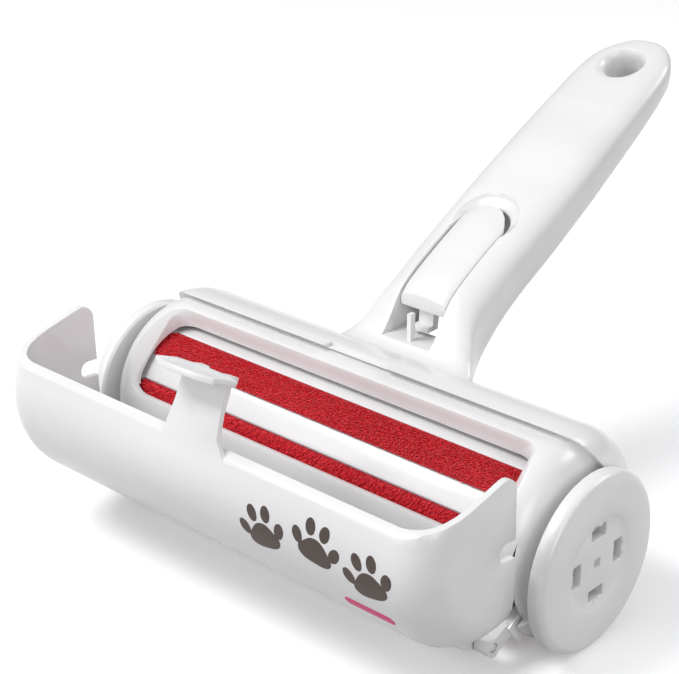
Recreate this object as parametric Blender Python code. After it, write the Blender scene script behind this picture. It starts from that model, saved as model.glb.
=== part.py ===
"""Reusable lint roller: a rocking drum with red fabric strips in a white housing.

Metres, +Z up.  X runs along the drum, -Y is the front where the lid opens, +Y is the handle.
The roller stands on its two end discs, with the lid open against its stop.
"""
import math

import bmesh
import bpy
from mathutils import Matrix, Vector

MM = 0.001

# Where the drum axis lies.  The whole model's box is centred on the world origin in X and Y.
DRUM_Y = -43.42 * MM
DISC_RADIUS = 28.0 * MM
DISC_OUTER_X = 95.0 * MM
DISC_THICKNESS = 5.6 * MM
DISC_RIM_ROUND = 2.2 * MM
DRUM_Z = DISC_RADIUS

# Drum
DRUM_RADIUS = 25.0 * MM
DRUM_HALF_LENGTH = 79.0 * MM
SHAFT_RADIUS = 2.2 * MM
DRUM_WALL = 7.0 * MM
VENT_RADIUS = 4.0 * MM
VENT_REACH = 13.0 * MM
STRIP_THICKNESS = 0.9 * MM
STRIP_HALF_LENGTH = 77.0 * MM
STRIP_HALF_ANGLE = math.radians(12.6)
STRIP_SEAT_DEPTH = 0.5 * MM
STRIP_END_CHAMFER = 3.0 * MM
STRIP_END_SHARE = 0.62
STRIP_SEAT_GAP = 0.3 * MM
CORE_TUBE_RADIUS = 3.2 * MM
VENT_COUNT = 4
POCKET_HALF_WIDTH = 2.6 * MM
POCKET_LENGTH = 62.0 * MM
POCKET_CENTRE_X = 37.0 * MM
POCKET_DEPTH = 1.5 * MM
STRIP_ANGLES = {
    "lint_strip_under_front": math.radians(247.5),
    "lint_strip_under_rear": math.radians(292.5),
    "lint_strip_bin_front": math.radians(162.0),
    "lint_strip_bin_rear": math.radians(117.0),
}

# Head shell: a body turned about X whose ends are rounded over
SHELL_Y = 2.0 * MM
SHELL_Z = 31.0 * MM
SHELL_RADIUS = 33.0 * MM
SHELL_HALF_LENGTH = 88.0 * MM
SHELL_CORNER = 12.0 * MM
SHELL_POLE_RADIUS = 0.5 * MM
SHELL_CORNER_STEPS = 6
RABBET = 2.4 * MM
SHELL_WALL = 2.2 * MM
SHELL_BOTTOM_Z = 15.0 * MM
END_WALL_BOTTOM_Z = 7.0 * MM
END_WALL_INNER_X = 83.0 * MM
WINDOW_HALF_LENGTH = 74.0 * MM
WINDOW_CORNER = 6.0 * MM
WINDOW_FRONT_ANGLE = math.radians(166.0)
WINDOW_REAR_ANGLE = math.radians(101.0)
REAR_WALL_Y = 13.0 * MM
REAR_WALL_Z = 40.0 * MM

# Lid
HINGE_Y = -31.0 * MM
HINGE_Z = 9.0 * MM
LID_OPEN_ANGLE = math.radians(66.0)
LID_WALL = 2.0 * MM
LID_FREE_Y = -1.0 * MM
LID_BOTTOM_Z = 15.8 * MM
LID_EDGE_LIP_Y = 4.5 * MM
LID_EDGE_LIP_DROP = 3.5 * MM
EAR_CORNER = 5.0 * MM
EAR_CORNER_TURN = math.radians(105.0)
SHAFT_SLOT_GAP = 0.7 * MM
SHAFT_SLOT_TURN = math.radians(22.0)
KNUCKLE_HALF_WIDTH = 5.0 * MM
KNUCKLE_BORE_REACH = 9.0 * MM
EAR_TIP_Y = 22.5 * MM
EAR_TIP_Z = 34.0 * MM
HINGE_PIN_RADIUS = 1.2 * MM
HINGE_KNUCKLE_RADIUS = 3.0 * MM
HINGE_X = 71.0 * MM
PLATE_Z = 65.4 * MM

# Bezel around the bottom opening
BEZEL_INNER = 26.8 * MM
BEZEL_OUTER = 29.6 * MM
BEZEL_TOP_ANGLE = math.radians(30.4)
BEZEL_LIP_ANGLE = math.radians(49.0)
BEZEL_HALF_LENGTH = 82.6 * MM
BEZEL_END_BAR = 3.0 * MM
BEZEL_END_INNER = 20.0 * MM
BEZEL_BOTTOM_Z = 1.6 * MM
BEZEL_EAR_OFFSET = 8.2 * MM
BEZEL_EAR_HALF_WIDTH = 2.6 * MM
BEZEL_BORE_REACH = 14.0 * MM
WIPER_GAP_ANGLE = math.radians(0.6)
WIPER_ANGLE = math.radians(3.2)

# Handle stations in millimetres: distance behind the drum axis, top, bottom, half width
HANDLE_STATIONS = (
    (19.0, 57.0, 40.0, 36.0),
    (25.0, 60.0, 38.0, 29.5),
    (30.0, 66.0, 38.5, 24.5),
    (35.0, 74.0, 41.0, 21.5),
    (41.0, 78.8, 47.0, 19.8),
    (50.0, 84.0, 56.5, 19.6),
    (62.0, 90.2, 65.0, 19.6),
    (78.0, 98.4, 74.0, 19.8),
    (97.0, 108.0, 85.0, 19.6),
    (118.0, 118.4, 97.5, 18.8),
    (136.0, 126.8, 109.0, 18.0),
    (147.0, 130.9, 116.6, 16.6),
    (154.0, 132.6, 120.6, 13.2),
    (158.5, 133.2, 123.8, 8.8),
    (161.0, 132.6, 126.4, 3.6),
)
HANDLE_SQUARENESS = 3.0
HANDLE_RING = 32
HANDLE_STEPS = 3
HANDLE_WALL = 2.8 * MM
# rings of the handle's hollow, in millimetres behind the drum axis, and how it closes at its ends
HANDLE_HOLLOW_Y = (56.0, 58.0, 66.0, 80.0, 97.0, 115.0, 128.0, 134.0, 136.0)
HANDLE_HOLLOW_END = 6.0
HANDLE_HOLLOW_END_SHARE = 0.35
HANDLE_HOLLOW_BELOW = 14.0 * MM
HANDLE_HOLLOW_SQUARENESS = 5.0
RIB_ROOT = 0.6 * MM
RIB_SET_IN = 2.2 * MM
RIB_HALF_THICKNESS = 0.8 * MM
HANG_HOLE_Y = 146.0 * MM
HANG_HOLE_RADIUS = 6.6 * MM

# Release button
BUTTON_PIVOT_Y = 51.0 * MM
BUTTON_PIVOT_Z = 75.5 * MM
BUTTON_HALF_WIDTH = 9.4 * MM
POCKET_GAP = 0.6 * MM
BUTTON_PIN_RADIUS = 1.3 * MM
BUTTON_FRONT_Y = 34.4 * MM
BUTTON_REAR_Y = 70.6 * MM
POCKET_REAR_ROOM = 2.4 * MM
BUTTON_SIDE_DEPTH = 4.6 * MM
BUTTON_CROWN_DEPTH = 2.7 * MM
BUTTON_CROWN_RISE = 3.0 * MM
PIN_SEAT_DEPTH = 2.2 * MM
GAP_SIDE_WALL = 1.5 * MM
GAP_Y = (36.0 * MM, 53.0 * MM)
GAP_Z = (40.0 * MM, 70.0 * MM)
MOUTH_RIB_Y = (27.4 * MM, 29.6 * MM)
MOUTH_RIB_Z = (57.0 * MM, 69.5 * MM)
TAB_SEAT_HALF_WIDTH = 12.9 * MM
TAB_SEAT_Y = 4.6 * MM
TAB_SEAT_Z = 62.7 * MM
TAB_SEAT_HEIGHT = 4.0 * MM
TAB_SEAT_FRONT = 2.0 * MM
LOOP_HALF_WIDTH = 9.4 * MM
LOOP_RIB = 1.6 * MM
LOOP_Y_FRONT = 64.0 * MM
LOOP_Y_REAR = 131.0 * MM
HANG_HOLE_Z = 124.0 * MM
HOLLOW_Y = 66.0 * MM
HOLLOW_HALF_WIDTH = 12.6 * MM
HOLLOW_HALF_LENGTH = 11.5 * MM
HOLLOW_DEPTH = 3.4 * MM
HOLLOW_RINGS = 8
HOLLOW_STEPS = 28
HANDLE_SLOPE_DEG = 27.0

FIT_GAP = 0.35 * MM

SLOT_REACH = 10.1 * MM
SLOT_HALF_LENGTH = 3.6 * MM
SLOT_HALF_WIDTH = 1.9 * MM
SQUARE_HALF = 1.5 * MM
SQUARE_DEPTH = 3.2 * MM
DRUM_ROOM_RADIUS = 26.9 * MM
SHAFT_HOLE_RADIUS = 5.2 * MM
SPRING_Y = 63.0 * MM
SPRING_LOW = 75.6 * MM
SPRING_HIGH = 82.4 * MM
SPRING_TURNS = 3
SPRING_RADIUS = 2.6 * MM
SPRING_WIRE = 0.42 * MM
SPRING_STEPS_PER_TURN = 14
SPRING_SIDES = 6
NECK_THICKNESS = 1.8 * MM
NECK_SINK = 1.9 * MM
NECK_STEP = 2.3 * MM
NECK_STEP_LENGTH = 2.0 * MM
PLATE_Y = 21.0 * MM
PLATE_THICKNESS = 1.9 * MM
BUTTON_LUG_HALF_WIDTH = 5.0 * MM
BUTTON_HOOK_HALF_WIDTH = 3.0 * MM

# dish of the end discs: place along X from the outer face, and radius
DISC_DISH = [(-0.7, 12.2), (-0.55, 13.4), (-0.1, 15.2), (1.0, 18.2)]
# side and front outlines, in millimetres from the drum axis and the floor
POCKET_SIDE = [(24.0, 60.2), (44.0, 60.2), (52.0, 66.0), (62.0, 72.0),
               (74.0, 79.5), (74.0, 110.0), (24.0, 110.0)]
BUTTON_LUG = [(46.0, 79.0), (47.5, 73.6), (51.0, 72.2), (54.5, 73.6), (56.0, 82.0)]
BUTTON_HOOK = [(36.5, 73.0), (36.0, 63.5), (33.0, 63.5), (33.0, 61.6), (38.6, 61.6), (40.6, 76.0)]
HINGE_ARM = [(-31.0, 6.4), (-33.0, 9.0), (-31.0, 11.8), (-24.4, 14.2), (-22.0, 9.4)]
LID_ARM = [(-31.0, 11.9), (-33.9, 9.5), (-33.4, 17.0), (-29.0, 19.5), (-27.4, 16.6)]
# latch plate outline, right half: across from its middle, and height over PLATE_Z
PLATE_HALF = [(0.0, 14.0), (6.5, 13.0), (11.8, 10.2), (12.4, 1.2),
              (7.6, -0.8), (7.6, -4.6), (4.2, -4.6), (3.2, -2.0)]
# neck of the latch: place along Y and half width
NECK_WIDTHS = [(-9.0, 26.0), (-5.0, 18.5), (-1.0, 13.0), (5.0, 10.2), (12.0, 9.2), (22.6, 9.0)]
# hang hole: extra radius, and distance from its centre along the bore
HANG_HOLE_FLARE = [(0.0, -25.0), (0.0, 1.0), (0.25, 2.8), (0.9, 4.4),
                   (2.0, 5.7), (3.6, 6.8), (5.6, 7.6), (5.6, 25.0)]
# window walls: distance from the shell's axis, and how far the wall lies outside the window's half length
WINDOW_SIDES = [(18.0, -6.0), (24.0, -0.5), (29.0, 0.6), (33.0, 4.6), (41.5, 13.0)]
ROUND_STEPS = 48
# well outside the object, for cutters that pass right through
FAR = 0.1

WHITE = (0.86, 0.86, 0.86)
RED = (0.62, 0.01, 0.03)
DARK_GREY = (0.12, 0.12, 0.13)
STEEL = (0.6, 0.6, 0.62)


def clear_scene():
    for item in list(bpy.data.objects):
        bpy.data.objects.remove(item, do_unlink=True)


def material(name, colour, roughness, metallic=0.0):
    mat = bpy.data.materials.new(name)
    mat.use_nodes = True
    shader = mat.node_tree.nodes["Principled BSDF"]
    shader.inputs["Base Color"].default_value = (*colour, 1.0)
    shader.inputs["Roughness"].default_value = roughness
    shader.inputs["Metallic"].default_value = metallic
    return mat


def head(y, z):
    """A point given relative to the drum axis in Y, as world Y and Z."""
    return DRUM_Y + y, z


def new_object(name, bm, smooth_angle=35.0):
    bmesh.ops.remove_doubles(bm, verts=bm.verts, dist=1e-6)
    bmesh.ops.recalc_face_normals(bm, faces=bm.faces)
    if bm.calc_volume(signed=True) < 0.0:
        bmesh.ops.reverse_faces(bm, faces=bm.faces)
    mesh = bpy.data.meshes.new(name)
    bm.to_mesh(mesh)
    bm.free()
    obj = bpy.data.objects.new(name, mesh)
    bpy.context.scene.collection.objects.link(obj)
    mesh.shade_smooth()
    mesh.set_sharp_from_angle(angle=math.radians(smooth_angle))
    return obj


def loft(name, rings):
    """A closed solid through rings of points, capped at both ends."""
    bm = bmesh.new()
    rows = [[bm.verts.new(p) for p in ring] for ring in rings]
    count = len(rows[0])
    for first, second in zip(rows, rows[1:]):
        for i in range(count):
            j = (i + 1) % count
            bm.faces.new((first[i], first[j], second[j], second[i]))
    bm.faces.new(list(reversed(rows[0])))
    bm.faces.new(rows[-1])
    return new_object(name, bm)


def turned(name, profile, y, z, steps=ROUND_STEPS):
    """A solid turned about an X axis through y, z from (x, radius) pairs between its two end faces."""
    rings = []
    for x, radius in profile:
        ring = []
        for i in range(steps):
            a = math.tau * i / steps
            ring.append(Vector((x, y + radius * math.cos(a), z + radius * math.sin(a))))
        rings.append(ring)
    return loft(name, rings)


def prism_x(name, outline, x0, x1):
    """An outline in Y and Z, extruded from x0 to x1."""
    return loft(name, [[Vector((x, y, z)) for y, z in outline] for x in (x0, x1)])


def prism_y(name, outline, y0, y1):
    """An outline in X and Z, extruded from y0 to y1."""
    return loft(name, [[Vector((x, y, z)) for x, z in outline] for y in (y0, y1)])


def box(name, low, high):
    outline = ((low[1], low[2]), (high[1], low[2]), (high[1], high[2]), (low[1], high[2]))
    return prism_x(name, outline, low[0], high[0])


def boolean(target, tool, operation="DIFFERENCE"):
    """Apply one Boolean to target and remove the tool."""
    step = target.modifiers.new("step", "BOOLEAN")
    step.operation = operation
    step.solver = "EXACT"
    step.object = tool
    graph = bpy.context.evaluated_depsgraph_get()
    result = bpy.data.meshes.new_from_object(target.evaluated_get(graph))
    target.modifiers.clear()
    old = target.data
    target.data = result
    bpy.data.meshes.remove(old)
    bpy.data.objects.remove(tool, do_unlink=True)


def cut(target, *tools):
    for tool in tools:
        boolean(target, tool)


def join(target, *tools):
    for tool in tools:
        boolean(target, tool, "UNION")


def keep(target, tool):
    boolean(target, tool, "INTERSECT")


def finish(obj, mat, smooth_angle=35.0):
    """Clean the mesh after its Booleans and give it its material."""
    bm = bmesh.new()
    bm.from_mesh(obj.data)
    bmesh.ops.remove_doubles(bm, verts=bm.verts, dist=1e-6)
    bmesh.ops.dissolve_degenerate(bm, edges=bm.edges, dist=1e-6)
    bmesh.ops.dissolve_limit(bm, angle_limit=math.radians(0.5), verts=bm.verts, edges=bm.edges)
    bmesh.ops.triangulate(bm, faces=bm.faces)
    bmesh.ops.recalc_face_normals(bm, faces=bm.faces)
    bm.to_mesh(obj.data)
    bm.free()
    obj.data.materials.clear()
    obj.data.materials.append(mat)
    obj.data.shade_smooth()
    obj.data.set_sharp_from_angle(angle=math.radians(smooth_angle))
    return obj


def set_origin(obj, point):
    """Move the object's origin to point and leave its mesh where it is."""
    obj.data.transform(Matrix.Translation(-Vector(point)))
    obj.location = point


def arc(y, z, radius, start, end, steps):
    points = []
    for i in range(steps + 1):
        a = start + (end - start) * i / steps
        points.append((y + radius * math.cos(a), z + radius * math.sin(a)))
    return points


def sector(radius_in, radius_out, start, end, steps=10):
    """The outline of a ring's sector about the drum axis."""
    y, z = head(0.0, DRUM_Z)
    return arc(y, z, radius_out, start, end, steps) + arc(y, z, radius_in, end, start, steps)


def shell_body(name, inset, steps=64):
    """The turned head body, set in by the same distance all over."""
    y, z = head(SHELL_Y, SHELL_Z)
    half = SHELL_HALF_LENGTH - inset
    radius = SHELL_RADIUS - inset
    corner = SHELL_CORNER - inset
    profile = [(half, SHELL_POLE_RADIUS), (half, radius - corner)]
    for i in range(1, SHELL_CORNER_STEPS + 1):
        a = math.radians(90.0 * i / SHELL_CORNER_STEPS)
        profile.append((half - corner * (1.0 - math.cos(a)), radius - corner * (1.0 - math.sin(a))))
    return turned(name, [(-x, r) for x, r in profile] + list(reversed(profile)), y, z, steps)


def lid_side_outline(grow=0.0):
    """The closed lid's side outline in Y and Z: everything in front of and above its back edge."""
    hinge = Vector((HINGE_Y, HINGE_Z))
    tip = Vector((EAR_TIP_Y, EAR_TIP_Z))
    along = (tip - hinge).normalized()
    down = Vector((along.y, -along.x)) * grow
    free = Vector((LID_FREE_Y + grow, SHELL_Z + SHELL_RADIUS + 1.0 * MM))
    round_steps = 6
    centre = tip - along * EAR_CORNER + Vector((-along.y, along.x)) * EAR_CORNER
    points = [hinge - along * 12.0 * MM + down]
    for i in range(round_steps + 1):
        a = -math.pi / 2.0 + math.atan2(along.y, along.x) + EAR_CORNER_TURN * i / round_steps
        points.append(centre + (EAR_CORNER + grow) * Vector((math.cos(a), math.sin(a))))
    points.append(free + Vector((LID_EDGE_LIP_Y, -LID_EDGE_LIP_DROP)))
    points.append(free)
    points.append(free + Vector((0.0, 20.0 * MM)))
    points.append(Vector((-60.0 * MM, SHELL_Z + SHELL_RADIUS + 21.0 * MM)))
    points.append(Vector((-60.0 * MM, HINGE_Z - 8.0 * MM)))
    return [head(p.x, p.y) for p in points]


def handle_ring(y, top, bottom, half_width, inset=0.0, squareness=HANDLE_SQUARENESS):
    ring = []
    middle = (top + bottom) / 2.0
    half_height = (top - bottom) / 2.0 - inset
    width = half_width - inset
    power = 2.0 / squareness
    for i in range(HANDLE_RING):
        a = math.tau * i / HANDLE_RING
        c = math.cos(a)
        s = math.sin(a)
        x = width * math.copysign(abs(c) ** power, c)
        z = middle + half_height * math.copysign(abs(s) ** power, s)
        ring.append(Vector((x, DRUM_Y + y, z)))
    return ring


def handle_at(y):
    """Top, bottom and half width of the handle at a distance behind the drum axis."""
    stations = handle_stations()
    for low, high in zip(stations, stations[1:]):
        if low[0] <= y <= high[0]:
            t = (y - low[0]) / (high[0] - low[0])
            return tuple(low[i] + (high[i] - low[i]) * t for i in (1, 2, 3))
    return stations[-1][1:]


def handle_stations():
    """The handle's stations with smooth ones in between."""
    rows = [Vector(tuple(v * MM for v in row)) for row in HANDLE_STATIONS]
    smooth = []
    for i in range(len(rows) - 1):
        before = rows[max(i - 1, 0)]
        after = rows[min(i + 2, len(rows) - 1)]
        for k in range(HANDLE_STEPS):
            t = k / HANDLE_STEPS
            a = rows[i] * 2.0
            b = (rows[i + 1] - before) * t
            c = (before * 2.0 - rows[i] * 5.0 + rows[i + 1] * 4.0 - after) * t ** 2
            d = (rows[i] * 3.0 - before - rows[i + 1] * 3.0 + after) * t ** 3
            smooth.append((a + b + c + d) * 0.5)
    smooth.append(rows[-1])
    return [tuple(row) for row in smooth]


def handle_body():
    return loft("handle_body", [handle_ring(*row) for row in handle_stations()])


def handle_cavity():
    """The hollow back of the grip, open underneath."""
    rings = []
    for y_mm in HANDLE_HOLLOW_Y:
        y = y_mm * MM
        top, bottom, half = handle_at(y)
        from_end = min(y_mm - HANDLE_HOLLOW_Y[0], HANDLE_HOLLOW_Y[-1] - y_mm)
        share = min(1.0, HANDLE_HOLLOW_END_SHARE + from_end / HANDLE_HOLLOW_END)
        rings.append(handle_ring(y, top - HANDLE_WALL - 0.8 * MM, bottom - HANDLE_HOLLOW_BELOW,
                                 (half - HANDLE_WALL) * share, squareness=HANDLE_HOLLOW_SQUARENESS))
    return loft("handle_cavity", rings)


def rib(name, x0, x1, y0, y1):
    """A rib standing in the handle's hollow back."""
    steps = 6
    upper = []
    lower = []
    for i in range(steps + 1):
        y = y0 + (y1 - y0) * i / steps
        top, bottom, _ = handle_at(y)
        upper.append((DRUM_Y + y, top - HANDLE_WALL + RIB_ROOT))
        lower.append((DRUM_Y + y, bottom + RIB_SET_IN))
    return prism_x(name, upper + list(reversed(lower)), x0, x1)


def rib_loop():
    """A rib in the handle's hollow back that runs round in a long loop."""
    loop = rib("rib_loop", -LOOP_HALF_WIDTH, LOOP_HALF_WIDTH, 58.0 * MM, 134.0 * MM)
    keep(loop, loop_block("outside", LOOP_HALF_WIDTH, 0.0))
    cut(loop, loop_block("inside", LOOP_HALF_WIDTH, LOOP_RIB))
    return loop


def loop_block(name, half_width, inset):
    """A tall block with half-round ends over the loop rib's outline."""
    radius = half_width - inset
    outline = []
    for centre, start in ((LOOP_Y_REAR - half_width, 0.0), (LOOP_Y_FRONT + half_width, math.pi)):
        for i in range(13):
            a = start + math.pi * i / 12.0
            outline.append((radius * math.cos(a), DRUM_Y + centre + radius * math.sin(a)))
    return loft(name, [[Vector((x, y, z)) for x, y in outline] for z in (0.0, 0.2)])


def handle_bore(name):
    """The hang hole's bore, square to the handle and flared towards its upper face."""
    centre = Vector((0.0, DRUM_Y + HANG_HOLE_Y, HANG_HOLE_Z))
    slope = math.radians(HANDLE_SLOPE_DEG)
    rings = []
    for radius, reach in [(HANG_HOLE_RADIUS + a * MM, b * MM) for a, b in HANG_HOLE_FLARE]:
        ring = []
        for i in range(32):
            a = math.tau * i / 32
            along = radius * math.sin(a)
            ring.append(centre + Vector((radius * math.cos(a),
                                         along * math.cos(slope) - reach * math.sin(slope),
                                         along * math.sin(slope) + reach * math.cos(slope))))
        rings.append(ring)
    return loft(name, rings)


def pocket_outline():
    """The room of the release button, seen from the side: from the head's top to behind the button."""
    return [head(y * MM, z * MM) for y, z in POCKET_SIDE]


def button_plan(name, grow, rear_room):
    """A tall block over the button's outline, straight-sided with a half-round rear end."""
    half = BUTTON_HALF_WIDTH + grow
    centre = DRUM_Y + BUTTON_REAR_Y - BUTTON_HALF_WIDTH + rear_room
    outline = [(half, DRUM_Y - 0.01), (half, centre)]
    for i in range(1, 12):
        a = math.pi * i / 12.0
        outline.append((half * math.cos(a), centre + half * math.sin(a)))
    outline += [(-half, centre), (-half, DRUM_Y - 0.01)]
    return loft(name, [[Vector((x, y, z)) for x, y in outline] for z in (0.0, 0.2)])


def finger_hollow():
    """Shallow round hollow behind the button, for a fingertip."""
    rings = []
    centre_y = DRUM_Y + HOLLOW_Y
    slope = math.radians(HANDLE_SLOPE_DEG)
    top, _, _ = handle_at(HOLLOW_Y)
    for i in range(HOLLOW_RINGS + 1):
        tilt = math.pi * i / HOLLOW_RINGS
        height = math.cos(tilt) * HOLLOW_DEPTH
        share = max(math.sin(tilt), 0.02)
        ring = []
        for k in range(HOLLOW_STEPS):
            a = math.tau * k / HOLLOW_STEPS
            across = HOLLOW_HALF_WIDTH * share * math.cos(a)
            along = HOLLOW_HALF_LENGTH * share * math.sin(a)
            ring.append(Vector((across, centre_y + along * math.cos(slope) - height * math.sin(slope),
                                top + along * math.sin(slope) + height * math.cos(slope))))
        rings.append(ring)
    return loft("finger_hollow", rings)


def housing(mat):
    """Rear and top shell with its end walls, window frame and handle, one moulding."""
    shell = shell_body("housing_shell", 0.0)
    rabbet = prism_x("rabbet", lid_side_outline(FIT_GAP), -100.0 * MM, 100.0 * MM)
    cut(rabbet, shell_body("inner", RABBET))
    cut(shell, rabbet)
    join(shell, handle_body())

    cavity = shell_body("cavity", RABBET + SHELL_WALL)
    wall_y, wall_z = head(REAR_WALL_Y, REAR_WALL_Z)
    cut(cavity, box("rear_wall", (-FAR, wall_y - FAR, wall_z), (FAR, wall_y, FAR)))
    y, z = head(0.0, DRUM_Z)
    room = [(-END_WALL_INNER_X, DRUM_ROOM_RADIUS), (END_WALL_INNER_X, DRUM_ROOM_RADIUS)]
    join(cavity, turned("drum_room", room, y, z, 64))
    cut(shell, cavity)

    # bottom: the shell ends where the bezel begins, the end walls reach lower
    low = -10.0 * MM
    cut(shell, box("bottom", (-END_WALL_INNER_X, -2.0 * FAR, low),
                   (END_WALL_INNER_X, 2.0 * FAR, SHELL_BOTTOM_Z)))
    cut(shell, box("feet", (-2.0 * FAR, -2.0 * FAR, low), (2.0 * FAR, 2.0 * FAR, END_WALL_BOTTOM_Z)))

    cut(shell, window_cutter())
    cut(shell, turned("shaft_hole", [(-FAR, SHAFT_HOLE_RADIUS), (FAR, SHAFT_HOLE_RADIUS)], y, z, 32))

    # seat in the rim for the tab of the closed lid
    cut(shell, box("tab_seat", (-TAB_SEAT_HALF_WIDTH, DRUM_Y - TAB_SEAT_FRONT, TAB_SEAT_Z),
                   (TAB_SEAT_HALF_WIDTH, DRUM_Y + TAB_SEAT_Y, TAB_SEAT_Z + TAB_SEAT_HEIGHT)))

    cut(shell, handle_cavity())
    join(shell, rib("rib_middle", -RIB_HALF_THICKNESS, RIB_HALF_THICKNESS, 60.0 * MM, 132.0 * MM), rib_loop())
    cut(shell, handle_bore("hang_hole"))

    half = BUTTON_HALF_WIDTH + POCKET_GAP
    pocket = prism_x("pocket", pocket_outline(), -half, half)
    keep(pocket, button_plan("pocket_plan", POCKET_GAP, POCKET_REAR_ROOM))
    cut(shell, pocket, finger_hollow())
    # see-through gap under the latch, with a rib across its mouth
    cut(shell, box("gap", (-half + GAP_SIDE_WALL, DRUM_Y + GAP_Y[0], GAP_Z[0]),
                   (half - GAP_SIDE_WALL, DRUM_Y + GAP_Y[1], GAP_Z[1])))
    join(shell, box("mouth_rib", (-RIB_HALF_THICKNESS, DRUM_Y + MOUTH_RIB_Y[0], MOUTH_RIB_Z[0]),
                    (RIB_HALF_THICKNESS, DRUM_Y + MOUTH_RIB_Y[1], MOUTH_RIB_Z[1])))
    pin_y, pin_z = head(BUTTON_PIVOT_Y, BUTTON_PIVOT_Z)
    seat = half + PIN_SEAT_DEPTH
    cut(shell, turned("pin_seat", [(-seat, BUTTON_PIN_RADIUS + FIT_GAP), (seat, BUTTON_PIN_RADIUS + FIT_GAP)],
                      pin_y, pin_z, 20))
    return finish(shell, mat)


def window_cutter():
    """The bin window with rounded corners, and inner walls that slope in towards the drum."""
    y, z = head(SHELL_Y, SHELL_Z)
    middle = (WINDOW_FRONT_ANGLE + WINDOW_REAR_ANGLE) / 2.0
    half_arc = (WINDOW_FRONT_ANGLE - WINDOW_REAR_ANGLE) / 2.0 * SHELL_RADIUS
    rings = []
    for radius, flare in [(a * MM, b * MM) for a, b in WINDOW_SIDES]:
        half_x = WINDOW_HALF_LENGTH + flare
        ring = []
        for sx, sa in ((1, 1), (-1, 1), (-1, -1), (1, -1)):
            if sx == sa:
                turns = range(5)
            else:
                turns = range(4, -1, -1)
            for i in turns:
                b = math.radians(90.0 * i / 4.0)
                x = sx * (half_x - WINDOW_CORNER * (1.0 - math.cos(b)))
                across = sa * (half_arc - WINDOW_CORNER * (1.0 - math.sin(b)))
                angle = middle + across / SHELL_RADIUS
                ring.append(Vector((x, y + radius * math.cos(angle), z + radius * math.sin(angle))))
        rings.append(ring)
    return loft("window", rings)


def open_lid_turn(obj):
    """Swing a piece of the closed lid out to its open stop."""
    y, z = head(HINGE_Y, HINGE_Z)
    turn = Matrix.Translation((0.0, y, z)) @ Matrix.Rotation(LID_OPEN_ANGLE, 4, "X") @ \
        Matrix.Translation((0.0, -y, -z))
    obj.data.transform(turn)


def lid(mat):
    """Half-round cover with end ears, hinge knuckles and the latch tab on its free edge."""
    body = shell_body("lid", 0.0)
    keep(body, prism_x("side", lid_side_outline(0.0), -100.0 * MM, 100.0 * MM))
    inner = shell_body("inner", LID_WALL)
    cut(body, inner)
    cut(body, box("low_edge", (-END_WALL_INNER_X, -2.0 * FAR, -0.01),
                  (END_WALL_INNER_X, 2.0 * FAR, LID_BOTTOM_Z)))
    # slot for the drum's shaft in each ear
    slot = []
    pivot = Vector((HINGE_Y, HINGE_Z))
    shaft = Vector((0.0, DRUM_Z)) - pivot
    reach = shaft.length
    angle = math.atan2(shaft.y, shaft.x)
    half = SHAFT_RADIUS + SHAFT_SLOT_GAP
    centre = pivot + shaft
    radial = shaft.normalized()
    ahead = Vector((-radial.y, radial.x))
    for i in range(9):
        a = math.radians(180.0 * i / 8.0)
        slot.append(centre + half * (radial * math.cos(a) + ahead * math.sin(a)))
    for radius in (reach - half, reach + half):
        a = angle - SHAFT_SLOT_TURN
        slot.append(pivot + radius * Vector((math.cos(a), math.sin(a))))
    cut(body, prism_x("shaft_slot", [head(p.x, p.y) for p in slot], -100.0 * MM, 100.0 * MM))

    join(body, latch_tab())
    knuckle_y, knuckle_z = head(HINGE_Y, HINGE_Z)
    for side in (-1.0, 1.0):
        ends = sorted((side * (HINGE_X - KNUCKLE_HALF_WIDTH), side * (HINGE_X + KNUCKLE_HALF_WIDTH)))
        knuckle = turned("knuckle", [(ends[0], HINGE_KNUCKLE_RADIUS), (ends[1], HINGE_KNUCKLE_RADIUS)],
                         knuckle_y, knuckle_z, 24)
        join(knuckle, prism_x("arm", [head(a * MM, b * MM) for a, b in LID_ARM], ends[0], ends[1]))
        join(body, knuckle)
    for side in (-1.0, 1.0):
        ends = sorted((side * (HINGE_X - KNUCKLE_BORE_REACH), side * (HINGE_X + KNUCKLE_BORE_REACH)))
        bore = HINGE_PIN_RADIUS + FIT_GAP
        cut(body, turned("bore", [(ends[0], bore), (ends[1], bore)], knuckle_y, knuckle_z, 20))
    open_lid_turn(body)
    return finish(body, mat)


def latch_tab():
    """Flared neck rising from the free edge, and the T-shaped plate on top of it."""
    rings = []
    for y_mm, half in NECK_WIDTHS:
        y = y_mm * MM
        rise = math.sqrt(SHELL_RADIUS ** 2 - (min(y, SHELL_Y) - SHELL_Y) ** 2)
        over_rim = NECK_STEP * min(1.0, max(0.0, (y - LID_FREE_Y) / NECK_STEP_LENGTH))
        base = SHELL_Z + rise - NECK_SINK + over_rim
        world_y, _ = head(y, 0.0)
        across = half * MM
        top = base + NECK_THICKNESS
        rings.append([Vector((-across, world_y, base)), Vector((across, world_y, base)),
                      Vector((across, world_y, top)), Vector((-across, world_y, top))])
    tab = loft("neck", rings)
    y, _ = head(PLATE_Y, 0.0)
    outline = PLATE_HALF + [(-a, b) for a, b in reversed(PLATE_HALF) if a > 0.0]
    plate = prism_y("plate", [(a * MM, PLATE_Z + b * MM) for a, b in outline], y, y + PLATE_THICKNESS)
    join(tab, plate)
    return tab


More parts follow.
